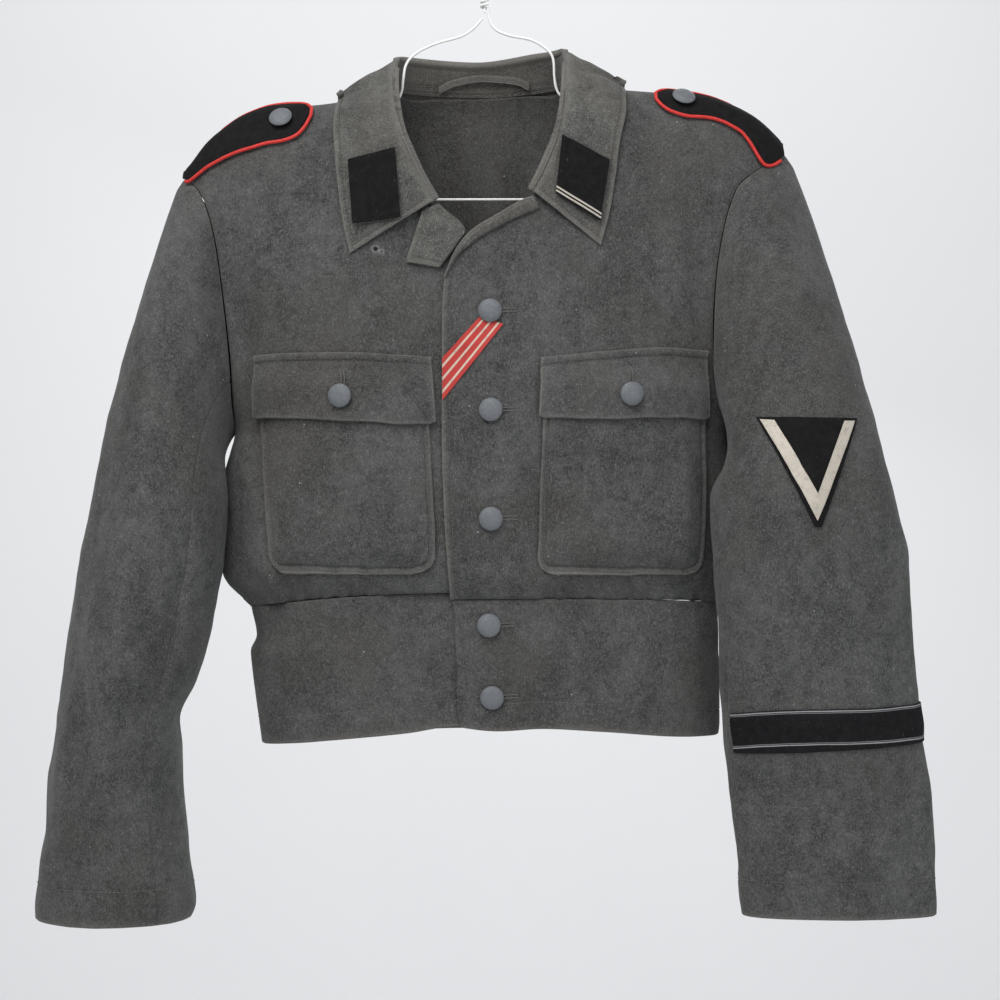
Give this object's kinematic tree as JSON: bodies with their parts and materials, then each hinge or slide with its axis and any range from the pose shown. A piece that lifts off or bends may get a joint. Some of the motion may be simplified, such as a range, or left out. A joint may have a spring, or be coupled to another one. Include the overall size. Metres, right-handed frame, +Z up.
{
  "type": "combat tunic on a wire hanger",
  "caption": "Short waist-length wool combat tunic with patch pockets, fitted waistband and fold-down collar, hung open at the neck on a bent-wire hanger.",
  "frame": {"origin": "inner top of the hanger's hook, where it rests on a rail", "axes": "+Z up, -Y towards the tunic's front, +X towards the tunic's own left sleeve"},
  "size_m": [0.7273, 0.1613, 0.8111],
  "materials": {
    "field_wool": "matte felted wool",
    "under_sleeve_wool": "matte felted wool",
    "collar_wool": "matte felted wool, worn",
    "black_cloth": "matte badge cloth",
    "pale_braid": "flat woven braid",
    "red_cloth": "woven cord and ribbon",
    "button_enamel": "worn matte enamel",
    "hanger_coating": "satin white coating"
  },
  "bodies": {
    "root": {"back": "field_wool", "front_right": "field_wool", "front_left": "field_wool", "sleeve_upper_right": "field_wool", "sleeve_upper_left": "field_wool", "pocket_right": "field_wool", "pocket_left": "field_wool", "pocket_flap_right": "field_wool", "pocket_flap_left": "field_wool", "waistband_right": "field_wool", "waistband_left": "field_wool", "waistband_back": "field_wool", "hang_loop": "field_wool", "sleeve_under_right": "under_sleeve_wool", "sleeve_under_left": "under_sleeve_wool", "collar": "collar_wool", "lapel_facing_right": "collar_wool", "lapel_facing_left": "collar_wool", "shoulder_strap_right": "black_cloth", "shoulder_strap_left": "black_cloth", "collar_patch_right": "black_cloth", "collar_patch_left": "black_cloth", "sleeve_triangle": "black_cloth", "cuff_band": "black_cloth", "sleeve_chevron": "pale_braid", "strap_piping_right": "red_cloth", "strap_piping_left": "red_cloth", "ribbon": "red_cloth", "button_front_1": "button_enamel", "button_front_2": "button_enamel", "button_front_3": "button_enamel", "button_front_4": "button_enamel", "button_front_5": "button_enamel", "button_flap_right": "button_enamel", "button_flap_left": "button_enamel", "button_strap_right": "button_enamel", "button_strap_left": "button_enamel", "hanger_hook": "hanger_coating", "hanger_frame": "hanger_coating"}
  },
  "joints": []
}
